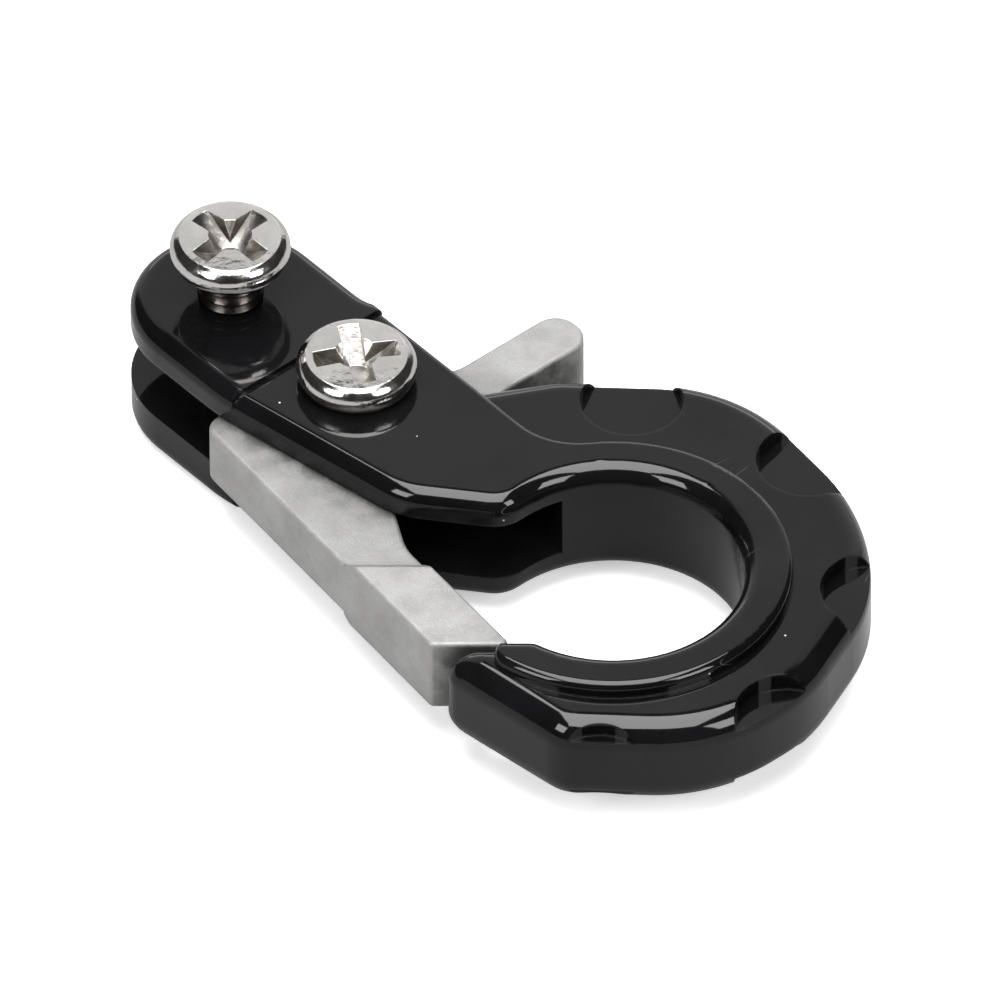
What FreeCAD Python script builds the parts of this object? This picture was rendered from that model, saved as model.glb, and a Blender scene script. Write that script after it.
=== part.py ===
"""Small safety chain hook: a cast C-shaped eye on a two-eared shank, with a sprung latch.

Millimetres. The origin is the centre of the eye, half way through its thickness. +X runs along
the shank to the chain end, +Y points to the mouth and the latch, and +Z is up through the eye.
"""
import FreeCAD, Part
import math
import os
from FreeCAD import Vector

# eye
bore_radius = 5.9
ring_width = 2.2
ring_thickness = 6.0
ring_round = 0.4
bore_round = 0.85

# rim round the ring: the way that each flat faces, how far it stands beyond the bore, and the
# radius of the corner to the next flat
rim_thickness = 4.6
rim_round = 1.25
shank_root_round = 0.8
shoulder_facing = -28.0
shoulder_width = 7.55
shoulder_round = 3.0
heel_facing = -43.3
heel_width = 7.2
heel_round = 8.0
bottom_facing = -96.0
bottom_width = 6.2
bottom_round = 12.0
lower_facing = -134.0
lower_width = 5.65
lower_round = 8.0
toe_facing = -157.0
toe_width = 5.1
toe_round = 8.0
front_facing = 180.0
front_width = 5.1
front_round = 8.0
upper_facing = 136.0
upper_width = 4.35
upper_round = 2.2
flank_facing = 97.8
flank_width = 3.3
tip_facing = 139.0
tip_distance = 4.4
tip_round = 0.95
tip_step_round = 0.9
ring_tip_setback = 0.4
inner_corner_round = 0.9
rim_start = 1.2

# grip pockets in the rim
pocket_radius = 2.35
pocket_depth = 0.85
pocket_ring_beyond_bore = 5.8
pocket_ring_x = -0.15
pocket_ring_y = 0.2
pocket_start = -45.4
pocket_pitch = 44.6
pocket_count = 5

# shank and its ears
ear_width = 9.1
shank_offset = 1.62
shank_round = 8.0
shank_taper_facing = 99.8
shank_taper_distance = 2.668
beak_facing = 129.7
beak_rise = 0.969
beak_round = 1.8
throat_round = 4.0
saddle_round = 3.3
slot_gap = 3.2
pad_rise = 0.25
pad_drop = 1.0
pad_start_from_pin = 5.2
slot_root_depth = 1.9
slot_root_facing = -98.8

# screws
pin_distance = 24.45
pivot_distance = 16.64
pivot_offset = 0.83
screw_radius = 1.45
thread_root_radius = 1.22
thread_pitch = 0.5
thread_crest = 0.05
screw_point = 0.2
screw_length = 6.0
screw_lift = 2.0
pivot_screw_turn = 61.0
chain_screw_turn = 5.0
head_radius = 2.75
head_height = 1.6
head_foot_radius = 2.35
head_waist_height = 0.85
head_land_radius = 2.3
head_land_drop = 0.12
head_side_sag = 0.1
recess_span = 4.2
recess_wing = 1.0
recess_depth = 1.3
recess_floor_radius = 0.55
running_gap = 0.05

# latch
latch_side_gap = 0.1
latch_stop_gap = 0.1
latch_nose_thickness = 3.9
latch_nose_length = 5.06
latch_ramp = 0.6
latch_back_facing = 83.67
latch_back_width = 3.27
latch_inner_facing = 84.3
latch_inner_width = 0.22
latch_neck_facing = 61.0
latch_neck_width = 2.66
latch_heel_reach = 3.48
latch_root_reach = 3.77
latch_edge_round = 0.2
latch_neck_round = 2.0
latch_waist_round = 3.0
latch_heel_round = 0.9
nose_corner_round = 0.3
hub_drop = 3.7
hub_round = 3.0
tab_width = 2.5
tab_reach = 10.9
tab_round = 1.15
tab_flare = 1.6
root_gap = 0.2

# torsion spring round the pivot screw
wire_radius = 0.15
coil_radius = 2.1
coil_pitch = 0.33
coil_turns = 3.0
spring_gap = 0.05
pocket_wall_gap = 0.35
spring_anchor = 2.3
leg_landing = 0.8
leg_margin = 8.0
leg_pocket_radius = 5.2
latch_swing = 22.0

# worked out from the sizes above
ring_radius = bore_radius + ring_width
ring_half = ring_thickness / 2
rim_half = rim_thickness / 2
slot_half = slot_gap / 2
ear_half_width = ear_width / 2
near_side = shank_offset + ear_half_width
far_side = ear_half_width - shank_offset
shank_end = pin_distance + ear_half_width
pad_top = ring_half + pad_rise
pad_bottom = ring_half + pad_drop
pad_start = pin_distance - pad_start_from_pin
hole_radius = screw_radius + running_gap
latch_half = slot_half - latch_side_gap
root_x = pivot_distance - latch_root_reach - root_gap
spring_pocket_radius = coil_radius + wire_radius + pocket_wall_gap
coil_bottom = -latch_half + spring_gap
coil_top = coil_bottom + coil_turns * coil_pitch + 2 * wire_radius
tall = 5 * ring_radius


def unit(facing):
    """The direction at an angle in degrees from +X."""
    return Vector(math.cos(math.radians(facing)), math.sin(math.radians(facing)), 0)


def crossing(first, second):
    """Where two lines meet; each line is (facing, distance from the origin)."""
    n, m = unit(first[0]), unit(second[0])
    spread = n.x * m.y - n.y * m.x
    x = (first[1] * m.y - second[1] * n.y) / spread
    y = (n.x * second[1] - m.x * first[1]) / spread
    return Vector(x, y, 0)


def outline(lines):
    """A closed wire along lines (facing, distance, radius of the corner to the next line)."""
    count = len(lines)
    corners = [crossing(lines[i], lines[(i + 1) % count]) for i in range(count)]
    arcs = []
    for i in range(count):
        here, radius = corners[i], lines[i][2]
        back = (corners[i - 1] - here).normalize()
        ahead = (corners[(i + 1) % count] - here).normalize()
        half = back.getAngle(ahead) / 2
        middle = (back + ahead).normalize()
        reach = radius / math.tan(half)
        bulge = here + middle * (radius / math.sin(half) - radius)
        arcs.append((here + back * reach, bulge, here + ahead * reach))
    edges = []
    for i in range(count):
        start, bulge, end = arcs[i]
        if lines[i][2] > 0:
            edges.append(Part.Arc(start, bulge, end).toShape())
        following = arcs[(i + 1) % count][0]
        if end.distanceToPoint(following) > 1e-5:
            edges.append(Part.makeLine(end, following))
    return Part.Wire(edges)


def plate(wire, half):
    """A plate of the wire's shape, half its thickness above and half below the middle plane."""
    face = Part.Face(wire)
    face.translate(Vector(0, 0, -half))
    return face.extrude(Vector(0, 0, 2 * half))


def rounded(solid, radius, half, keep=lambda point: True):
    """Rounds the edges that lie in the plate's two faces, where keep(middle of edge) holds."""
    edges = []
    for edge in solid.Edges:
        middle = edge.valueAt((edge.FirstParameter + edge.LastParameter) / 2)
        box = edge.BoundBox
        in_face = box.ZLength < 1e-6 and abs(abs(middle.z) - half) < 1e-6
        if in_face and keep(middle):
            edges.append(edge)
    return solid.makeFillet(radius, edges)


def cylinder(radius, low, high, x=0.0, y=0.0):
    """An upright cylinder between two heights."""
    return Part.makeCylinder(radius, high - low, Vector(x, y, low))


def raised_outline():
    """The eye's ring and the shank in one C-shaped outline, open at the mouth."""
    saddle = -math.degrees(math.asin((far_side + saddle_round) / (ring_radius + saddle_round)))
    step = (ring_tip() + tip_step_round) / (ring_radius - tip_step_round)
    ring_end = tip_facing - math.degrees(math.acos(step))
    return outline([
        (90, near_side, ear_half_width),
        (0, shank_end, ear_half_width),
        (-90, far_side, saddle_round),
        (saddle, ring_radius, ring_radius),
        (-90, ring_radius, ring_radius),
        (180, ring_radius, ring_radius),
        (ring_end, ring_radius, tip_step_round),
        (tip_facing, ring_tip(), inner_corner_round),
        (bore_end(), bore_radius, bore_radius),
        (180, bore_radius, bore_radius),
        (-90, bore_radius, bore_radius),
        (bore_start(), bore_radius, beak_round),
        (beak_facing, beak_line(), throat_round),
        (shank_taper_facing, shank_taper_distance, shank_round),
    ])


def soft_outline():
    """The shank and the bore, with a wide margin outside the ring, where the ring stays crisp."""
    margin = 2 * ring_radius
    return outline([
        (90, near_side, ear_half_width),
        (0, shank_end, ear_half_width),
        (-90, far_side, ring_width),
        (-45, margin, ring_width),
        (-90, margin, ring_width),
        (180, margin, ring_width),
        (90, margin, ring_width),
        (tip_facing, ring_tip(), inner_corner_round),
        (bore_end(), bore_radius, bore_radius),
        (180, bore_radius, bore_radius),
        (-90, bore_radius, bore_radius),
        (bore_start(), bore_radius, beak_round),
        (beak_facing, beak_line(), throat_round),
        (shank_taper_facing, shank_taper_distance, shank_round),
    ])


def bore_end():
    """Where the bore's wall turns into the tip's inner corner, as a direction from the centre."""
    lip = (ring_tip() + inner_corner_round) / (bore_radius + inner_corner_round)
    return tip_facing - math.degrees(math.acos(lip))


def bore_start():
    """Where the bore's wall turns into the beak."""
    nib = (beak_line() - beak_round) / (bore_radius + beak_round)
    return beak_facing - math.degrees(math.acos(nib))


def ring_tip():
    """The raised ring stops a little short of the tip's end face."""
    return tip_distance + ring_tip_setback


def beak_line():
    """How far out the beak's flat lies, measured from the chain side of the bore."""
    return beak_rise + bore_radius * unit(beak_facing).x


def rim_outline():
    """The lower rim that runs from the shank's far side round the eye to the tip."""
    return outline([
        (-90, far_side, shank_root_round),
        (shoulder_facing, bore_radius + shoulder_width, shoulder_round),
        (heel_facing, bore_radius + heel_width, heel_round),
        (bottom_facing, bore_radius + bottom_width, bottom_round),
        (lower_facing, bore_radius + lower_width, lower_round),
        (toe_facing, bore_radius + toe_width, toe_round),
        (front_facing, bore_radius + front_width, front_round),
        (upper_facing, bore_radius + upper_width, upper_round),
        (flank_facing, bore_radius + flank_width, tip_round),
        (tip_facing, tip_distance, 0),
        (180, rim_start, 0),
        (90, 0, 0),
        (0, pin_distance, 0),
    ])


def grip_pockets():
    """The cutters for the round pockets in each face of the rim, evenly spaced round the eye."""
    floor = rim_half - pocket_depth
    cutters = []
    for step in range(pocket_count):
        centre = unit(pocket_start - pocket_pitch * step) * (bore_radius + pocket_ring_beyond_bore)
        x, y = centre.x + pocket_ring_x, centre.y + pocket_ring_y
        cutters.append(cylinder(pocket_radius, floor, tall, x, y))
        cutters.append(cylinder(pocket_radius, -tall, -floor, x, y))
    return cutters


def latch_slot():
    """The gap between the ears: open to the mouth, the far side and the chain end."""
    root = unit(slot_root_facing)
    root_start = Vector(bore_radius, -slot_root_depth, 0)
    along = Vector(-root.y, root.x, 0)
    inner = root_start - along * (bore_radius / 2 / along.x)
    corner = root_start + along * ((root_x - bore_radius) / along.x)
    points = [inner, corner, Vector(root_x, -tall, 0), Vector(2 * tall, -tall, 0),
              Vector(2 * tall, tall, 0), Vector(inner.x, tall, 0)]
    face = Part.Face(Part.makePolygon(points + points[:1]))
    face.translate(Vector(0, 0, -slot_half))
    return face.extrude(Vector(0, 0, slot_gap))


def raised_plate(half):
    """The ring and shank, rounded a little outside the ring and more everywhere else."""
    crisp = rounded(plate(raised_outline(), half), ring_round, half)
    soft = rounded(plate(soft_outline(), half), bore_round, half)
    return crisp.common(soft)


def make_hook_body():
    """The black casting: ring, rim, shank, two ears, raised pads and grip pockets."""
    raised = raised_plate(ring_half)
    upper = Part.makeBox(tall, 2 * tall, tall, Vector(pad_start, -tall, 0))
    lower = Part.makeBox(tall, 2 * tall, tall, Vector(pad_start, -tall, -tall))
    pads = [raised_plate(pad_top).common(upper), raised_plate(pad_bottom).common(lower)]
    rim = plate(rim_outline(), rim_half)
    rim = rounded(rim, rim_round, rim_half, lambda p: p.y < -far_side / 2 or p.y > near_side / 2
                  or p.x < -bore_radius)
    rim = rim.cut(cylinder(bore_radius + ring_width / 2, -tall, tall))
    body = raised.fuse(pads + [rim])
    holes = [cylinder(hole_radius, -tall, tall, pivot_distance, pivot_offset),
             cylinder(hole_radius, -tall, tall, pin_distance, shank_offset)]
    return body.cut(grip_pockets() + holes + [latch_slot()]).removeSplitter()


def latch_outline():
    """The bar from nose to heel, the hub round the pivot and the thumb tab."""
    tab_inner = pivot_distance - latch_root_reach
    return outline([
        (latch_back_facing, bore_radius + latch_back_width, nose_corner_round),
        (tip_facing, tip_distance - latch_stop_gap, nose_corner_round),
        (latch_inner_facing, bore_radius + latch_inner_width, latch_waist_round),
        (latch_neck_facing, bore_radius + latch_neck_width, latch_neck_round),
        (0, tab_inner, tab_round),
        (-90, tab_reach - pivot_offset, tab_round),
        (0, tab_inner + tab_width, tab_flare),
        (-90, hub_drop - pivot_offset, hub_round),
        (0, pivot_distance + latch_heel_reach, latch_heel_round),
    ])


def latch_nose():
    """The thicker block at the nose, with a ramp up to it on each face."""
    out, along = unit(tip_facing), unit(tip_facing - 90)
    nose_half = latch_nose_thickness / 2
    end = tip_distance
    start = end - latch_stop_gap - latch_nose_length
    foot = start - latch_ramp
    profile = [(foot, latch_half), (start, nose_half), (end, nose_half), (end, -nose_half),
               (start, -nose_half), (foot, -latch_half)]
    points = [out * r + Vector(0, 0, z) - along * tall for r, z in profile]
    block = Part.Face(Part.makePolygon(points + points[:1])).extrude(along * 2 * tall)
    return block.common(rounded(plate(latch_outline(), nose_half), latch_edge_round, nose_half))


def spring_leg_angles():
    """Directions of the spring's wall leg and of the fan that it sweeps in the latch."""
    root = unit(slot_root_facing)
    along = Vector(-root.y, root.x, 0)
    wall = Vector(bore_radius, -slot_root_depth, 0)
    wall = wall + along * ((root_x - leg_landing - bore_radius) / along.x)
    target = wall - root * (wire_radius + spring_gap)
    away = target - Vector(pivot_distance, pivot_offset, 0)
    distance = away.Length
    facing = math.degrees(math.atan2(away.y, away.x)) % 360
    lean = math.degrees(math.acos(coil_radius / distance))
    return facing, facing + lean, target


def make_latch():
    """The raw cast lever: nose, bar, hub with its spring pocket, and thumb tab."""
    bar = rounded(plate(latch_outline(), latch_half), latch_edge_round, latch_half)
    latch = bar.fuse(latch_nose()).removeSplitter()
    pivot = (pivot_distance, pivot_offset)
    centre = Vector(pivot_distance, pivot_offset, 0)
    pocket = cylinder(spring_pocket_radius, -tall, coil_top + spring_gap, *pivot)
    bore = cylinder(hole_radius, -tall, tall, *pivot)
    facing, touch, target = spring_leg_angles()
    leave = touch - math.degrees(math.acos(coil_radius / spring_pocket_radius))
    sweep = leave - facing + latch_swing + 2 * leg_margin
    fan_height = 2 * wire_radius + 3 * spring_gap + slot_half - latch_half
    floor = centre - Vector(0, 0, slot_half)
    fan = Part.makeCylinder(leg_pocket_radius, fan_height, floor, Vector(0, 0, 1), sweep)
    fan.rotate(centre, Vector(0, 0, 1), facing - latch_swing - leg_margin)
    return latch.cut([pocket, bore, fan, anchor_groove()])


def anchor_point():
    """Where the coil ends and the spring's inner leg starts, and the leg's direction."""
    facing, touch, target = spring_leg_angles()
    end_facing = touch + 360 * coil_turns
    start = Vector(pivot_distance, pivot_offset, coil_top - wire_radius) + unit(end_facing) * coil_radius
    return start, unit(end_facing + 90)


def anchor_groove():
    """The groove in the latch that holds the spring's inner leg."""
    start, ahead = anchor_point()
    side = Vector(-ahead.y, ahead.x, 0)
    width = 2 * wire_radius + 2 * spring_gap
    base = Vector(start.x, start.y, -slot_half) - side * width / 2
    length = spring_anchor + spring_gap
    corners = [base, base + ahead * length, base + ahead * length + side * width, base + side * width]
    face = Part.Face(Part.makePolygon(corners + corners[:1]))
    return face.extrude(Vector(0, 0, coil_top + spring_gap + slot_half))


def make_latch_spring():
    """A torsion spring: a coil round the pivot, one leg on the casting and one in the latch."""
    facing, touch, target = spring_leg_angles()
    centre = Vector(pivot_distance, pivot_offset, coil_bottom + wire_radius)
    helix = Part.makeHelix(coil_pitch, coil_turns * coil_pitch, coil_radius)
    helix.rotate(Vector(0, 0, 0), Vector(0, 0, 1), touch)
    helix.translate(centre)
    start = centre + unit(touch) * coil_radius
    end, ahead = anchor_point()
    target = Vector(target.x, target.y, start.z)
    first = Part.makeLine(target, start)
    last = Part.makeLine(end, end + ahead * spring_anchor)
    path = Part.Wire([first] + helix.Edges + [last])
    section = Part.Wire(Part.makeCircle(wire_radius, target, start - target))
    return path.makePipeShell([section], True, True)


def thread(length):
    """A shank with a ridged thread of the right pitch, running down from its head."""
    points = [Vector(0, 0, 0), Vector(thread_root_radius, 0, 0)]
    half_pitch = thread_pitch / 2
    depth = half_pitch
    while depth + thread_pitch < length:
        points.append(Vector(thread_root_radius, 0, -depth))
        points.append(Vector(screw_radius, 0, -depth - half_pitch + thread_crest / 2))
        points.append(Vector(screw_radius, 0, -depth - half_pitch - thread_crest / 2))
        depth += thread_pitch
    points.append(Vector(thread_root_radius, 0, -depth))
    points.append(Vector(thread_root_radius, 0, -length + screw_point))
    points.append(Vector(thread_root_radius - screw_point, 0, -length))
    points.append(Vector(0, 0, -length))
    face = Part.Face(Part.makePolygon(points + points[:1]))
    return face.revolve(Vector(0, 0, 0), Vector(0, 0, 1), 360)


def bulged(start, end):
    """An arc between two points, bulging by the sag of the head's sides."""
    along = (end - start).normalize()
    middle = (start + end) / 2 + Vector(along.z, 0, -along.x) * head_side_sag
    return Part.Arc(start, middle, end).toShape()


def pan_head():
    """A pan head that tapers in to its underside, with a slightly domed top."""
    base = Vector(0, 0, 0)
    foot = Vector(head_foot_radius, 0, 0)
    waist = Vector(head_radius, 0, head_waist_height)
    land = Vector(head_land_radius, 0, head_height - head_land_drop)
    crown = Vector(0, 0, head_height)
    dome = Vector(head_land_radius / 2, 0, head_height - head_land_drop / 4)
    edges = [Part.makeLine(base, foot), bulged(foot, waist), bulged(waist, land),
             Part.Arc(land, dome, crown).toShape(), Part.makeLine(crown, base)]
    return Part.Face(Part.Wire(edges)).revolve(base, Vector(0, 0, 1), 360)


def cross_recess():
    """A cross recess whose wings narrow towards the floor."""
    floor = head_height - recess_depth
    cone = Part.makeCone(recess_floor_radius, recess_span / 2, recess_depth, Vector(0, 0, floor))
    wing = Part.makeBox(recess_span, recess_wing, recess_depth,
                        Vector(-recess_span / 2, -recess_wing / 2, floor))
    other = wing.copy()
    other.rotate(Vector(0, 0, 0), Vector(0, 0, 1), 90)
    heart = Part.makeCone(recess_floor_radius, recess_wing, recess_depth, Vector(0, 0, floor))
    return wing.fuse(other).common(cone).fuse(heart)


def pan_screw(x, y, seat, turn):
    """A cross-recess pan-head machine screw standing on a seat height."""
    screw = pan_head().cut(cross_recess()).fuse(thread(screw_length)).removeSplitter()
    screw.rotate(Vector(0, 0, 0), Vector(0, 0, 1), turn)
    screw.translate(Vector(x, y, seat))
    return screw


def main():
    """Builds each piece and writes one STEP file per piece."""
    os.makedirs("parts", exist_ok=True)
    pieces = {
        "hook_body": make_hook_body(),
        "latch": make_latch(),
        "latch_spring": make_latch_spring(),
        "pivot_screw": pan_screw(pivot_distance, pivot_offset, ring_half, pivot_screw_turn),
        "chain_screw": pan_screw(pin_distance, shank_offset, pad_top + screw_lift, chain_screw_turn),
    }
    for name, shape in pieces.items():
        shape.exportStep(f"parts/{name}.step")
        box = shape.BoundBox
        print(f"{name}: {len(shape.Solids)} solid, valid {shape.isValid()}, {shape.Volume:.2f} mm3, "
              f"x {box.XMin:.2f} {box.XMax:.2f} y {box.YMin:.2f} {box.YMax:.2f} z {box.ZMin:.2f} {box.ZMax:.2f}")


main()
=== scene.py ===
"""Looks for a small cast safety chain hook: enamelled body, raw cast latch, nickel-plated screws."""

import logging
import math
from dataclasses import dataclass, field
from enum import Enum
from typing import Sequence

import bpy
import numpy as np
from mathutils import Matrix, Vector

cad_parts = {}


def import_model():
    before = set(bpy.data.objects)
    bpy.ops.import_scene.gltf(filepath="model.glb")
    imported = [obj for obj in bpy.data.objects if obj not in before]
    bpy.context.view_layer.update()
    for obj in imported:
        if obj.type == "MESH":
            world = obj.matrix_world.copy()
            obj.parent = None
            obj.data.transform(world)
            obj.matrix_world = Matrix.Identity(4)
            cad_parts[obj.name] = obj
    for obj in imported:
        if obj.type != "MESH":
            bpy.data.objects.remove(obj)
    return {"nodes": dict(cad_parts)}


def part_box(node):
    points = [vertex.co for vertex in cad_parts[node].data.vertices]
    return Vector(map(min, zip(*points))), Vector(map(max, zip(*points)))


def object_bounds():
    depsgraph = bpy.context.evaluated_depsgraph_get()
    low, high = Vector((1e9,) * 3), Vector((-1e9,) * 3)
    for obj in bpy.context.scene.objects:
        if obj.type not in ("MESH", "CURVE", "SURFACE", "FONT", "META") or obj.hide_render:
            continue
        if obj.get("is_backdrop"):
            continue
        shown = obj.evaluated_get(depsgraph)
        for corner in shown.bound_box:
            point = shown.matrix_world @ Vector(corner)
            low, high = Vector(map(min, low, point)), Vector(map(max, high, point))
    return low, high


MM = 0.001
LOG = logging.getLogger("hook")
EDGE_SAMPLES = 6
HOLLOW_SAMPLES = 6


class Node(Enum):
    """The CAD nodes of the hook."""

    HOOK = "hook_body"
    LATCH = "latch"
    SPRING = "latch_spring"
    PIVOT = "pivot_screw"
    CHAIN = "chain_screw"


class Lamp(Enum):
    """What each soft lamp is for."""

    OVERHEAD = "overhead"
    LEFT = "left"
    RIGHT = "right"
    BACK = "back"


# --------------------------------------------------------------------------- shader tools


class Tree:
    """A thin helper that adds nodes to a node tree and links them."""

    def __init__(self, tree: bpy.types.NodeTree) -> None:
        """Keeps the tree.

        Args:
            tree: The material, world or group tree to fill.
        """
        self.tree = tree

    def add(self, kind: str, **settings: object) -> bpy.types.Node:
        """Adds a node.

        Args:
            kind: The node's Blender type name.
            **settings: Properties of the node, by name.

        Returns:
            The new node.
        """
        node = self.tree.nodes.new(kind)
        for name, value in settings.items():
            setattr(node, name, value)
        return node

    def put(self, node: bpy.types.Node, socket: str | int, value: object) -> None:
        """Feeds an input with a constant or with another node's output.

        Args:
            node: The node that is fed.
            socket: The input's name or number.
            value: A number, a tuple or an output socket.
        """
        target = node.inputs[socket]
        if isinstance(value, bpy.types.NodeSocket):
            self.tree.links.new(value, target)
        else:
            target.default_value = value

    def noise(self, vector: object, scale: object, detail: float = 2.0, rough: float = 0.5) -> object:
        """Adds fractal noise.

        Args:
            vector: Coordinates.
            scale: Features per metre.
            detail: Octaves.
            rough: How strong the fine octaves are.

        Returns:
            The noise value's socket, centred on one half.
        """
        node = self.add("ShaderNodeTexNoise")
        self.put(node, "Vector", vector)
        self.put(node, "Scale", scale)
        self.put(node, "Detail", detail)
        self.put(node, "Roughness", rough)
        return node.outputs["Fac"]

    def ramp(self, value: object, low: object, high: object,
             first: object = 0.0, last: object = 1.0) -> object:
        """Maps a range of a value smoothly onto another range, clamped.

        Args:
            value: The value's socket.
            low: The value that gives first.
            high: The value that gives last.
            first: The result at low.
            last: The result at high.

        Returns:
            The mapped value's socket.
        """
        node = self.add("ShaderNodeMapRange", interpolation_type="SMOOTHSTEP")
        for name, given in (("Value", value), ("From Min", low), ("From Max", high),
                            ("To Min", first), ("To Max", last)):
            self.put(node, name, given)
        return node.outputs["Result"]

    def math(self, operation: str, first: object, second: object = 0.0) -> object:
        """Adds a math node and returns its result's socket."""
        node = self.add("ShaderNodeMath", operation=operation)
        self.put(node, 0, first)
        self.put(node, 1, second)
        return node.outputs[0]

    def mix(self, factor: object, first: object, second: object) -> object:
        """Mixes two colours and returns the result's socket."""
        node = self.add("ShaderNodeMix", data_type="RGBA")
        self.put(node, 0, factor)
        self.put(node, 6, first)
        self.put(node, 7, second)
        return node.outputs[2]

    def bump(self, height: object, depth: float, strength: float, normal: object = None) -> object:
        """Adds a bump node.

        Args:
            height: The height's socket, from 0 to 1.
            depth: The real height in metres of a value of 1.
            strength: The share of the effect.
            normal: A normal to build on.

        Returns:
            The normal's socket.
        """
        node = self.add("ShaderNodeBump")
        self.put(node, "Height", height)
        self.put(node, "Distance", depth)
        self.put(node, "Strength", strength)
        if normal is not None:
            self.put(node, "Normal", normal)
        return node.outputs["Normal"]

    def soft_edges(self, radius: float) -> object:
        """Rounds how edges are shaded over a radius in metres, and returns the normal's socket."""
        node = self.add("ShaderNodeBevel", samples=EDGE_SAMPLES)
        node.inputs["Radius"].default_value = radius
        return node.outputs[0]


def group(name: str, inputs: Sequence[tuple[str, str, object]],
          outputs: Sequence[tuple[str, str]]) -> tuple:
    """Makes an empty shader group with named sockets.

    Args:
        name: The group's name.
        inputs: Name, socket type and default of each input.
        outputs: Name and socket type of each output.

    Returns:
        The group's tree helper, its input node and its output node.
    """
    tree = bpy.data.node_groups.new(name, "ShaderNodeTree")
    for label, kind, default in inputs:
        socket = tree.interface.new_socket(name=label, in_out="INPUT", socket_type=kind)
        if default is not None:
            socket.default_value = default
    for label, kind in outputs:
        tree.interface.new_socket(name=label, in_out="OUTPUT", socket_type=kind)
    helper = Tree(tree)
    return helper, helper.add("NodeGroupInput"), helper.add("NodeGroupOutput")


FLOAT, COLOUR, VECTOR = "NodeSocketFloat", "NodeSocketColor", "NodeSocketVector"


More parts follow.
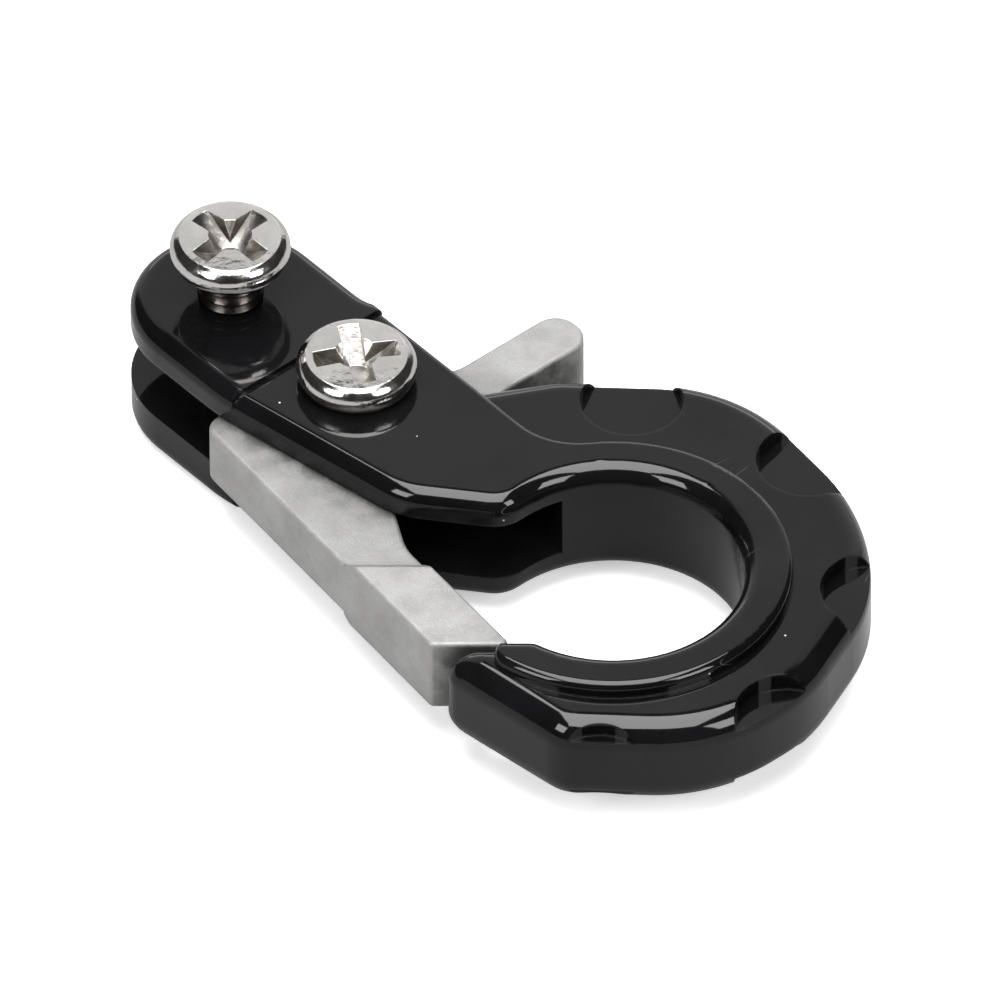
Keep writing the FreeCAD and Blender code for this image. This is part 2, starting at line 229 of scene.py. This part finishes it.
class Effects:
    """The hook's shader groups, each built once and placed in a finish with its own values."""

    # range of the fine grain that gets painted glints
    glint_range = (0.56, 0.72)
    scuff_turn = (0.3, 0.2, 0.7)
    scuff_stretch = (1.0, 0.16, 1.0)
    scuff_patch_share = 0.8
    scuff_patch_fade = 0.06
    # patches that break up the painted shade in hollows
    shade_patch_scale = 900.0
    shade_patch_range = (0.35, 0.65)
    shade_patch_least = 0.5

    def __init__(self) -> None:
        """Builds every group."""
        self.grain = self._grain()
        self.mottle = self._mottle()
        self.specks = self._specks()
        self.scuffs = self._scuffs()
        self.ao_shade = self._ao_shade()

    @staticmethod
    def _grain() -> bpy.types.NodeTree:
        """Fine cast grain: a fine and a coarse noise mixed as a height, and a mask of the highest grains,
        where glints are painted.

        Returns:
            The group's tree.
        """
        t, given, out = group("cast_grain", [("Vector", VECTOR, None), ("Fine", FLOAT, 4000.0),
                                             ("Coarse", FLOAT, 900.0), ("Balance", FLOAT, 0.5)],
                              [("Height", FLOAT), ("Sparkle", FLOAT)])
        fine = t.noise(given.outputs["Vector"], given.outputs["Fine"], 3.0, 0.6)
        coarse = t.noise(given.outputs["Vector"], given.outputs["Coarse"], 2.0, 0.5)
        part = t.math("MULTIPLY", fine, given.outputs["Balance"])
        rest = t.math("MULTIPLY", coarse, t.math("SUBTRACT", 1.0, given.outputs["Balance"]))
        t.put(out, "Height", t.math("ADD", part, rest))
        t.put(out, "Sparkle", t.ramp(fine, *Effects.glint_range))
        return t.tree

    @staticmethod
    def _mottle() -> bpy.types.NodeTree:
        """Cloudy colour variation between two colours, with a mask of the darker clouds.

        Returns:
            The group's tree.
        """
        t, given, out = group("mottle", [("Vector", VECTOR, None), ("Scale", FLOAT, 200.0),
                                         ("Light", COLOUR, None), ("Dark", COLOUR, None),
                                         ("Contrast", FLOAT, 0.12)],
                              [("Color", COLOUR), ("Mask", FLOAT)])
        cloud = t.noise(given.outputs["Vector"], given.outputs["Scale"], 5.0, 0.62)
        low = t.math("SUBTRACT", 0.5, given.outputs["Contrast"])
        high = t.math("ADD", 0.5, given.outputs["Contrast"])
        mask = t.ramp(cloud, low, high)
        t.put(out, "Color", t.mix(mask, given.outputs["Dark"], given.outputs["Light"]))
        t.put(out, "Mask", mask)
        return t.tree

    @staticmethod
    def _specks() -> bpy.types.NodeTree:
        """Sparse dust specks: the cores of randomly thinned Voronoi cells.

        Returns:
            The group's tree.
        """
        t, given, out = group("dust_specks", [("Vector", VECTOR, None), ("Scale", FLOAT, 700.0),
                                              ("Size", FLOAT, 0.07), ("Share", FLOAT, 0.2)],
                              [("Mask", FLOAT)])
        cells = t.add("ShaderNodeTexVoronoi", feature="F1")
        t.put(cells, "Vector", given.outputs["Vector"])
        t.put(cells, "Scale", given.outputs["Scale"])
        dot = t.math("LESS_THAN", cells.outputs["Distance"], given.outputs["Size"])
        pick = t.add("ShaderNodeSeparateColor")
        t.put(pick, 0, cells.outputs["Color"])
        kept = t.math("LESS_THAN", pick.outputs[0], given.outputs["Share"])
        t.put(out, "Mask", t.math("MULTIPLY", dot, kept))
        return t.tree

    @staticmethod
    def _scuffs() -> bpy.types.NodeTree:
        """Fine hairline scuffs: thin bands where a stretched, warped noise crosses one half.

        Returns:
            The group's tree.
        """
        t, given, out = group("hairline_scuffs", [("Vector", VECTOR, None), ("Scale", FLOAT, 260.0),
                                                  ("Width", FLOAT, 0.006), ("Share", FLOAT, 0.6)],
                              [("Mask", FLOAT)])
        turn = t.add("ShaderNodeMapping")
        t.put(turn, "Vector", given.outputs["Vector"])
        turn.inputs["Rotation"].default_value = Effects.scuff_turn
        turn.inputs["Scale"].default_value = Effects.scuff_stretch
        bands = t.noise(turn.outputs[0], given.outputs["Scale"], 2.0, 0.5)
        away = t.math("ABSOLUTE", t.math("SUBTRACT", bands, 0.5))
        line = t.ramp(away, 0.0, given.outputs["Width"], 1.0, 0.0)
        wide = t.math("MULTIPLY", given.outputs["Scale"], Effects.scuff_patch_share)
        where = t.noise(given.outputs["Vector"], wide, 1.0)
        full = t.math("ADD", given.outputs["Share"], Effects.scuff_patch_fade)
        kept = t.ramp(where, given.outputs["Share"], full)
        t.put(out, "Mask", t.math("MULTIPLY", line, kept))
        return t.tree

    @staticmethod
    def _ao_shade() -> bpy.types.NodeTree:
        """Painted shade in hollows: a darker colour from ambient occlusion, broken up by noise.

        Returns:
            The group's tree.
        """
        t, given, out = group("ao_shade", [("Vector", VECTOR, None), ("Reach", FLOAT, 0.0006),
                                        ("Strength", FLOAT, 0.6)], [("Mask", FLOAT)])
        hollow_shade = t.add("ShaderNodeAmbientOcclusion", samples=HOLLOW_SAMPLES)
        t.put(hollow_shade, "Distance", given.outputs["Reach"])
        covered = t.math("SUBTRACT", 1.0, hollow_shade.outputs["AO"])
        cloud = t.noise(given.outputs["Vector"], Effects.shade_patch_scale, 3.0)
        patch = t.ramp(cloud, *Effects.shade_patch_range, Effects.shade_patch_least, 1.0)
        amount = t.math("MULTIPLY", covered, given.outputs["Strength"])
        t.put(out, "Mask", t.math("MULTIPLY", amount, patch))
        return t.tree


def use(tree: Tree, effect: bpy.types.NodeTree, **values: object) -> bpy.types.Node:
    """Places a shared effect in a material.

    Args:
        tree: The material's tree helper.
        effect: The effect's group.
        **values: Its inputs by name.

    Returns:
        The group node.
    """
    node = tree.add("ShaderNodeGroup", node_tree=effect)
    for name, value in values.items():
        tree.put(node, name, value)
    return node


# --------------------------------------------------------------------------- finishes


@dataclass(frozen=True)
class Finish:
    """What every finish has: a name, its main colour and its roughness."""

    name: str
    color: tuple[float, float, float]
    roughness: float

    def start(self) -> tuple[bpy.types.Material, Tree, bpy.types.Node, object]:
        """Makes an empty material.

        Returns:
            The material, its tree helper, its Principled shader and its object coordinates.
        """
        material = bpy.data.materials.new(self.name)
        material.use_nodes = True
        material.diffuse_color = (*self.color, 1.0)
        material.node_tree.nodes.clear()
        t = Tree(material.node_tree)
        shader = t.add("ShaderNodeBsdfPrincipled")
        out = t.add("ShaderNodeOutputMaterial")
        t.put(out, "Surface", shader.outputs[0])
        return material, t, shader, t.add("ShaderNodeTexCoord").outputs["Object"]


@dataclass(frozen=True)
class Enamel(Finish):
    """Thick gloss black enamel, pooled soft over the casting's edges, with a little dust."""

    dust: tuple[float, float, float] = (0.45, 0.45, 0.44)
    edge_radius: float = 0.26 * MM
    coat_roughness: float = 0.055
    coat_ior: float = 1.4
    specular_level: float = 0.04
    cloud_scale: float = 160.0
    cloud_dark: float = 0.55
    dust_scale: float = 850.0
    dust_size: float = 0.045
    dust_share: float = 0.22
    dust_roughness: float = 0.5
    dust_cover: float = 0.8
    lint_scale: float = 420.0
    lint_width: float = 0.003
    lint_share: float = 0.68
    lint_strength: float = 0.16
    haze_scale: float = 420.0
    haze_range: tuple[float, float] = (0.3, 0.75)
    haze_gain: float = 1.9
    wave_scale: float = 230.0
    wave_depth: float = 0.05 * MM
    wave_strength: float = 0.55
    nib_depth: float = 0.01 * MM
    nib_strength: float = 0.5

    def make(self, effects: Effects) -> bpy.types.Material:
        """Builds the material.

        Args:
            effects: The shared shader groups.

        Returns:
            The finished material.
        """
        material, t, shader, place = self.start()
        tint = use(t, effects.mottle, Vector=place, Scale=self.cloud_scale, Light=(*self.color, 1.0),
                   Dark=(*(self.cloud_dark * c for c in self.color), 1.0))
        dust = use(t, effects.specks, Vector=place, Scale=self.dust_scale, Size=self.dust_size,
                   Share=self.dust_share)
        lint = use(t, effects.scuffs, Vector=place, Scale=self.lint_scale, Width=self.lint_width,
                   Share=self.lint_share)
        faint = t.math("MULTIPLY", lint.outputs[0], self.lint_strength)
        dirt = t.math("MAXIMUM", dust.outputs[0], faint)
        t.put(shader, "Base Color", t.mix(dirt, tint.outputs["Color"], (*self.dust, 1.0)))
        cloud = t.noise(place, self.haze_scale, 4.0, 0.6)
        haze = t.ramp(cloud, *self.haze_range, self.roughness, self.roughness * self.haze_gain)
        t.put(shader, "Roughness", t.math("ADD", haze, t.math("MULTIPLY", dirt, self.dust_roughness)))
        covered = t.math("MULTIPLY", dirt, self.dust_cover)
        t.put(shader, "Coat Weight", t.math("SUBTRACT", 1.0, covered))
        shader.inputs["Coat Roughness"].default_value = self.coat_roughness
        shader.inputs["Coat IOR"].default_value = self.coat_ior
        shader.inputs["Specular IOR Level"].default_value = self.specular_level
        soft = t.soft_edges(self.edge_radius)
        waves = t.noise(place, self.wave_scale, 1.0)
        flow = t.bump(waves, self.wave_depth, self.wave_strength, soft)
        nibs = t.bump(dust.outputs[0], self.nib_depth, self.nib_strength, flow)
        t.put(shader, "Normal", nibs)
        return material


@dataclass(frozen=True)
class RawCast(Finish):
    """Matte grey metal as it left the die: grainy, mottled, with painted shade in its hollows."""

    dark: tuple[float, float, float] = (0.24, 0.238, 0.233)
    metallic: float = 0.42
    rubbed_color: tuple[float, float, float] = (0.2, 0.2, 0.2)
    shade_color: tuple[float, float, float] = (0.05, 0.05, 0.048)
    # colour of the painted shade in the latch's hollows
    cloud_scale: float = 420.0
    cloud_contrast: float = 0.2
    fine_scale: float = 12000.0
    coarse_scale: float = 3200.0
    fine_share: float = 0.6
    # reach and strength of the painted shade from ambient occlusion
    shade_reach: float = 3.2 * MM
    shade_strength: float = 2.6
    # lighter colour and share of the painted glints on the highest grains
    glint_gain: float = 1.6
    glint_strength: float = 0.5
    streak_scale: float = 330.0
    streak_width: float = 0.01
    streak_share: float = 0.5
    streak_strength: float = 0.35
    grain_range: tuple[float, float] = (0.35, 0.65)
    spread: float = 0.2
    edge_radius: float = 0.09 * MM
    lump_scale: float = 420.0
    lump_depth: float = 0.12 * MM
    lump_strength: float = 0.5
    grain_depth: float = 0.032 * MM

    def make(self, effects: Effects) -> bpy.types.Material:
        """Builds the material.

        Args:
            effects: The shared shader groups.

        Returns:
            The finished material.
        """
        material, t, shader, place = self.start()
        tint = use(t, effects.mottle, Vector=place, Scale=self.cloud_scale, Light=(*self.color, 1.0),
                   Dark=(*self.dark, 1.0), Contrast=self.cloud_contrast)
        grain = use(t, effects.grain, Vector=place, Fine=self.fine_scale, Coarse=self.coarse_scale,
                    Balance=self.fine_share)
        # painted shade: a darker colour where ambient occlusion finds hollows
        shade_node = use(t, effects.ao_shade, Vector=place, Reach=self.shade_reach, Strength=self.shade_strength)
        # painted glints: the highest grains get a lighter colour
        glint_color = tuple(min(1.0, self.glint_gain * c) for c in self.color)
        painted_glints = t.math("MULTIPLY", grain.outputs["Sparkle"], self.glint_strength)
        body = t.mix(painted_glints, tint.outputs["Color"], (*glint_color, 1.0))
        streak = use(t, effects.scuffs, Vector=place, Scale=self.streak_scale, Width=self.streak_width,
                     Share=self.streak_share)
        worn = t.math("MULTIPLY", streak.outputs[0], self.streak_strength)
        rubbed = t.mix(worn, body, (*self.rubbed_color, 1.0))
        t.put(shader, "Base Color", t.mix(shade_node.outputs[0], rubbed, (*self.shade_color, 1.0)))
        least, most = 1.0 - self.spread, 1.0 + self.spread
        metal = t.ramp(tint.outputs["Mask"], 0.0, 1.0, self.metallic * least, self.metallic)
        t.put(shader, "Metallic", metal)
        rough = t.ramp(grain.outputs["Height"], *self.grain_range, self.roughness * least,
                       self.roughness * most)
        t.put(shader, "Roughness", rough)
        soft = t.soft_edges(self.edge_radius)
        lump = t.noise(place, self.lump_scale, 2.0)
        lumps = t.bump(lump, self.lump_depth, self.lump_strength, soft)
        t.put(shader, "Normal", t.bump(grain.outputs["Height"], self.grain_depth, 1.0, lumps))
        return material


@dataclass(frozen=True)
class Nickel(Finish):
    """Bright nickel plate over formed steel: gently dented, finely pitted, with painted shade in its
    hollows.
    """

    # darker colour for dirty pits and for the painted shade in hollows
    tarnish_and_shade: tuple[float, float, float] = (0.16, 0.145, 0.13)
    # darkest painted shade, deep in the hollows of the threaded shank
    deep_thread_shade: tuple[float, float, float] = (0.012, 0.011, 0.01)
    cloud_scale: float = 520.0
    cloud_dark: float = 0.86
    cloud_contrast: float = 0.16
    # reach and strength of the painted shade from ambient occlusion
    shade_reach: float = 1.2 * MM
    shade_strength: float = 2.2
    pit_scale: float = 2600.0
    pit_size: float = 0.16
    pit_share: float = 0.12
    pit_dirt: float = 0.6
    pit_depth: float = 0.01 * MM
    pit_strength: float = 0.6
    # how dark the painted shade on the threaded shank is
    thread_shade_gain: float = 0.5
    haze_scale: float = 1500.0
    haze_range: tuple[float, float] = (0.3, 0.7)
    haze_least: float = 0.7
    haze_most: float = 1.5
    dirt_roughness: float = 0.3
    edge_radius: float = 0.05 * MM
    dent_scale: float = 1100.0
    dent_depth: float = 0.07 * MM
    dent_strength: float = 0.6

    def make(self, effects: Effects, axis: Vector, thread_radius: float) -> bpy.types.Material:
        """Builds the material; the threaded shank, near the screw's axis, is painted dark as shade under
        the head.

        Args:
            effects: The shared shader groups.
            axis: A point on the screw's axis, at the underside of its head.
            thread_radius: How far out the shank painted dark as shade reaches.

        Returns:
            The finished material.
        """
        material, t, shader, place = self.start()
        tint = use(t, effects.mottle, Vector=place, Scale=self.cloud_scale, Light=(*self.color, 1.0),
                   Dark=(*(self.cloud_dark * c for c in self.color), 1.0), Contrast=self.cloud_contrast)
        # painted shade in hollows, from ambient occlusion
        shade_node = use(t, effects.ao_shade, Vector=place, Reach=self.shade_reach, Strength=self.shade_strength)
        pits = use(t, effects.specks, Vector=place, Scale=self.pit_scale, Size=self.pit_size,
                   Share=self.pit_share)
        apart = t.add("ShaderNodeVectorMath", operation="SUBTRACT")
        t.put(apart, 0, place)
        t.put(apart, 1, tuple(axis))
        split = t.add("ShaderNodeSeparateXYZ")
        t.put(split, 0, apart.outputs[0])
        across = t.math("SQRT", t.math("ADD", t.math("MULTIPLY", split.outputs[0], split.outputs[0]),
                                       t.math("MULTIPLY", split.outputs[1], split.outputs[1])))
        shank = t.math("MULTIPLY", t.math("LESS_THAN", across, thread_radius),
                       t.math("LESS_THAN", split.outputs[2], 0.0))
        # painted shade in hollows; dirt mixes it with real dirt in the pits
        hollow_shade = t.math("MINIMUM", shade_node.outputs[0], 1.0)
        dirt = t.math("MAXIMUM", hollow_shade, t.math("MULTIPLY", pits.outputs[0], self.pit_dirt))
        plated = t.mix(dirt, tint.outputs["Color"], (*self.tarnish_and_shade, 1.0))
        # the threaded shank is painted dark as shade under the head, darkest in its hollows
        shaded_thread = t.mix(hollow_shade, (*(self.thread_shade_gain * c for c in self.tarnish_and_shade), 1.0), (*self.deep_thread_shade, 1.0))
        t.put(shader, "Base Color", t.mix(shank, plated, shaded_thread))
        shader.inputs["Metallic"].default_value = 1.0
        cloud = t.noise(place, self.haze_scale, 4.0, 0.6)
        haze = t.ramp(cloud, *self.haze_range, self.roughness * self.haze_least,
                      self.roughness * self.haze_most)
        t.put(shader, "Roughness", t.math("ADD", haze, t.math("MULTIPLY", dirt, self.dirt_roughness)))
        soft = t.soft_edges(self.edge_radius)
        dent = t.noise(place, self.dent_scale, 3.0, 0.55)
        dents = t.bump(dent, self.dent_depth, self.dent_strength, soft)
        t.put(shader, "Normal", t.bump(pits.outputs[0], self.pit_depth, self.pit_strength, dents))
        return material


@dataclass(frozen=True)
class SpringWire(Finish):
    """Drawn spring wire, oiled grey, with faint streaks."""

    dark: tuple[float, float, float] = (0.2, 0.19, 0.18)
    cloud_scale: float = 1400.0
    cloud_contrast: float = 0.2
    streak_scale: float = 2500.0
    streak_width: float = 0.03
    streak_share: float = 0.45
    streak_roughness: float = 0.25
    streak_depth: float = 0.003 * MM
    streak_strength: float = 0.6

    def make(self, effects: Effects) -> bpy.types.Material:
        """Builds the material.

        Args:
            effects: The shared shader groups.

        Returns:
            The finished material.
        """
        material, t, shader, place = self.start()
        tint = use(t, effects.mottle, Vector=place, Scale=self.cloud_scale, Light=(*self.color, 1.0),
                   Dark=(*self.dark, 1.0), Contrast=self.cloud_contrast)
        t.put(shader, "Base Color", tint.outputs["Color"])
        shader.inputs["Metallic"].default_value = 1.0
        streak = use(t, effects.scuffs, Vector=place, Scale=self.streak_scale, Width=self.streak_width,
                     Share=self.streak_share)
        rough = self.roughness + self.streak_roughness
        t.put(shader, "Roughness", t.ramp(streak.outputs[0], 0.0, 1.0, self.roughness, rough))
        t.put(shader, "Normal", t.bump(streak.outputs[0], self.streak_depth, self.streak_strength))
        return material


@dataclass(frozen=True)
class Paper(Finish):
    """The pale sweep that the hook lies on, dimmed where it is only seen in reflections."""

    dimmed: float = 0.3
    glow: float = 0.5
    cloud_scale: float = 12.0
    cloud_dark: float = 0.985
    specular_level: float = 0.1

    def make(self, effects: Effects) -> bpy.types.Material:
        """Builds the material.

        Args:
            effects: The shared shader groups.

        Returns:
            The finished material.
        """
        material, t, shader, place = self.start()
        tint = use(t, effects.mottle, Vector=place, Scale=self.cloud_scale, Light=(*self.color, 1.0),
                   Dark=(*(self.cloud_dark * c for c in self.color), 1.0))
        path = t.add("ShaderNodeLightPath")
        dim = tuple(self.dimmed * c for c in self.color)
        shown = t.mix(path.outputs["Is Glossy Ray"], tint.outputs["Color"], (*dim, 1.0))
        t.put(shader, "Base Color", shown)
        t.put(shader, "Emission Color", (*self.color, 1.0))
        lit = t.math("MULTIPLY", path.outputs["Is Camera Ray"], self.glow)
        t.put(shader, "Emission Strength", lit)
        shader.inputs["Roughness"].default_value = self.roughness
        shader.inputs["Specular IOR Level"].default_value = self.specular_level
        return material


# --------------------------------------------------------------------------- the hook's pieces


def dress(node: bpy.types.Object, material: bpy.types.Material) -> None:
    """Gives a CAD node one material on all of its faces.

    Args:
        node: The node's object.
        material: Its finish.
    """
    node.data.materials.clear()
    node.data.materials.append(material)


@dataclass
class Casting:
    """The enamelled hook body."""

    finish: Enamel = field(default_factory=lambda: Enamel(
        "gloss_black_enamel", (0.0045, 0.0045, 0.005), 0.05))

    def build(self, nodes: dict[str, bpy.types.Object], effects: Effects) -> None:
        """Dresses the body.

        Args:
            nodes: The CAD nodes by name.
            effects: The shared shader groups.
        """
        dress(nodes[Node.HOOK.value], self.finish.make(effects))
        LOG.info("casting: %s", Node.HOOK.value)


@dataclass
class LatchSet:
    """The raw cast latch and its hidden torsion spring."""

    finish: RawCast = field(default_factory=lambda: RawCast("raw_casting", (0.33, 0.327, 0.32), 0.46))
    wire: SpringWire = field(default_factory=lambda: SpringWire("spring_wire", (0.5, 0.49, 0.47), 0.28))

    def build(self, nodes: dict[str, bpy.types.Object], effects: Effects) -> None:
        """Dresses the latch and the spring.

        Args:
            nodes: The CAD nodes by name.
            effects: The shared shader groups.
        """
        dress(nodes[Node.LATCH.value], self.finish.make(effects))
        dress(nodes[Node.SPRING.value], self.wire.make(effects))
        LOG.info("latch: %s and %s", Node.LATCH.value, Node.SPRING.value)


@dataclass
class Screws:
    """The two nickel-plated screws."""

    color: tuple[float, float, float] = (0.86, 0.84, 0.81)
    roughness: float = 0.13
    head_height: float = 1.6 * MM
    # how far out from the axis the shank is painted dark as shade
    thread_radius: float = 1.55 * MM

    def build(self, nodes: dict[str, bpy.types.Object], effects: Effects) -> None:
        """Dresses both screws.

        Args:
            nodes: The CAD nodes by name.
            effects: The shared shader groups.
        """
        for node in (Node.PIVOT, Node.CHAIN):
            low, high = (Vector(corner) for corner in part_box(node.value))
            axis = Vector(((low.x + high.x) / 2, (low.y + high.y) / 2, high.z - self.head_height))
            finish = Nickel(f"nickel_{node.value}", self.color, self.roughness)
            dress(nodes[node.value], finish.make(effects, axis, self.thread_radius))
            LOG.info("screw: %s", node.value)


# --------------------------------------------------------------------------- stage, light and camera


@dataclass(frozen=True)
class Softbox:
    """A soft lamp: power in watts, lengths in metres, and directions in degrees."""

    power: float
    distance: float
    azimuth: float
    elevation: float
    width: float
    height: float


@dataclass
class Studio:
    """A pale sweep before a lit backdrop, with a dark room between the soft lamps."""

    floor_reach: float = 1.2
    floor_gap: float = 0.02 * MM
    backdrop_light: float = 0.85
    backdrop_azimuth: float = 319.0
    backdrop_half: float = 32.0
    backdrop_fade: float = 16.0
    backdrop_top: float = 50.0
    ceiling_start: float = 57.0
    room_light: float = 0.035
    seen_light: float = 0.93
    finish: Paper = field(default_factory=lambda: Paper("pale_sweep", (0.93, 0.93, 0.93), 0.9))
    lamps: dict[Lamp, Softbox] = field(default_factory=lambda: {
        Lamp.OVERHEAD: Softbox(4.2, 0.45, 139.0, 88.0, 0.33, 0.48),
        Lamp.LEFT: Softbox(0.9, 0.45, 188.0, 36.0, 0.16, 0.2),
        Lamp.RIGHT: Softbox(0.9, 0.45, 92.0, 36.0, 0.16, 0.2),
        Lamp.BACK: Softbox(0.2, 0.6, 319.0, 15.0, 0.5, 0.1),
    })

    def floor(self, low: Vector, effects: Effects) -> None:
        """Lays the floor just under the hook, as a grid surface z = constant.

        Args:
            low: The hook's lowest corner.
            effects: The shared shader groups.
        """
        across = np.linspace(-self.floor_reach, self.floor_reach, 3)
        x, y = np.meshgrid(across, across, indexing="ij")
        points = np.stack([x, y, np.full_like(x, low.z - self.floor_gap)], -1).reshape(-1, 3)
        step = np.array([[0, 3, 4, 1]])
        corners = (np.array([0, 1, 3, 4])[:, None] + step).tolist()
        mesh = bpy.data.meshes.new("sweep")
        mesh.from_pydata(points.tolist(), [], corners)
        mesh.update()
        sweep = bpy.data.objects.new("sweep", mesh)
        bpy.context.scene.collection.objects.link(sweep)
        mesh.materials.append(self.finish.make(effects))
        sweep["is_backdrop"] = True

    def room(self) -> None:
        """Lights the world: a pale backdrop with soft edges in a dark room, and pale where it is seen."""
        world = bpy.data.worlds.new("studio_room")
        world.use_nodes = True
        world.node_tree.nodes.clear()
        t = Tree(world.node_tree)
        split = t.add("ShaderNodeSeparateXYZ")
        t.put(split, 0, t.add("ShaderNodeTexCoord").outputs["Generated"])
        up = t.ramp(split.outputs["Z"], math.sin(math.radians(self.backdrop_top)),
                    math.sin(math.radians(self.ceiling_start)), 1.0, 0.0)
        facing = math.radians(self.backdrop_azimuth)
        forward = t.math("ADD", t.math("MULTIPLY", split.outputs["X"], math.cos(facing)),
                         t.math("MULTIPLY", split.outputs["Y"], math.sin(facing)))
        sideways = t.math("SUBTRACT", t.math("MULTIPLY", split.outputs["Y"], math.cos(facing)),
                          t.math("MULTIPLY", split.outputs["X"], math.sin(facing)))
        aside = t.math("ABSOLUTE", t.math("ARCTAN2", sideways, forward))
        across = t.ramp(aside, math.radians(self.backdrop_half),
                        math.radians(self.backdrop_half + self.backdrop_fade), 1.0, 0.0)
        lit = t.ramp(t.math("MULTIPLY", up, across), 0.0, 1.0, self.room_light, self.backdrop_light)
        seen = t.add("ShaderNodeLightPath").outputs["Is Camera Ray"]
        shown = t.math("MULTIPLY", seen, self.seen_light)
        sky = t.add("ShaderNodeBackground")
        t.put(sky, "Strength", t.math("MAXIMUM", lit, shown))
        out = t.add("ShaderNodeOutputWorld")
        t.put(out, "Surface", sky.outputs[0])
        bpy.context.scene.world = world

    def hang(self, lamp: Lamp, centre: Vector) -> None:
        """Hangs one soft lamp so that it faces the hook.

        Args:
            lamp: Which lamp.
            centre: The hook's middle.
        """
        box = self.lamps[lamp]
        a, e = math.radians(box.azimuth), math.radians(box.elevation)
        away = Vector((math.cos(a) * math.cos(e), math.sin(a) * math.cos(e), math.sin(e)))
        data = bpy.data.lights.new(f"{lamp.value}_softbox", "AREA")
        data.shape = "RECTANGLE"
        data.size, data.size_y = box.width, box.height
        data.energy = box.power
        light = bpy.data.objects.new(data.name, data)
        light.location = centre + away * box.distance
        light.rotation_euler = away.to_track_quat("Z", "Y").to_euler()
        bpy.context.scene.collection.objects.link(light)

    def build(self, low: Vector, high: Vector, effects: Effects) -> None:
        """Builds the floor, the room and the lamps.

        Args:
            low: The hook's lowest corner.
            high: The hook's highest corner.
            effects: The shared shader groups.
        """
        self.floor(low, effects)
        self.room()
        for lamp in Lamp:
            self.hang(lamp, (low + high) / 2)
        LOG.info("studio: floor, backdrop and %d lamps", len(self.lamps))


@dataclass
class Camera:
    """A long lens looking down at the eye of the hook from the mouth side."""

    turn: float = 131.0
    elevation: float = 43.5
    distance: float = 1.5
    frame_width: float = 44.84305 * MM
    sensor: float = 36.0
    shift_x: float = -0.113
    shift_y: float = 0.11015
    nearest: float = 0.01
    farthest: float = 10.0

    def build(self) -> None:
        """Places the camera; its lens makes the frame as wide as frame_width at the origin."""
        a, e = math.radians(self.turn), math.radians(self.elevation)
        away = Vector((-math.sin(a) * math.cos(e), -math.cos(a) * math.cos(e), math.sin(e)))
        data = bpy.data.cameras.new("camera")
        data.sensor_width = self.sensor
        data.lens = self.distance / self.frame_width * self.sensor
        data.shift_x, data.shift_y = self.shift_x, self.shift_y
        data.clip_start, data.clip_end = self.nearest, self.farthest
        camera = bpy.data.objects.new("camera", data)
        camera.location = away * self.distance
        camera.rotation_euler = away.to_track_quat("Z", "Y").to_euler()
        bpy.context.scene.collection.objects.link(camera)
        bpy.context.scene.camera = camera
        LOG.info("camera: %.0f mm lens at %.2f m", data.lens, self.distance)


def corners() -> list[list[float]]:
    """The shown object's lowest and highest corners as plain lists."""
    return [list(corner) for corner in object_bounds()]


def main() -> None:
    """Loads the frame, dresses each piece, and sets the stage, the lamps and the camera."""
    logging.basicConfig(level=logging.INFO, format="%(name)s: %(message)s")
    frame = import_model()
    cad = corners()
    low, high = (Vector(corner) for corner in cad)
    effects = Effects()
    for part in (Casting(), LatchSet(), Screws()):
        part.build(frame["nodes"], effects)
    Studio().build(low, high, effects)
    Camera().build()
    bpy.context.scene.view_settings.view_transform = "Standard"


if __name__ == "__main__":
    main()
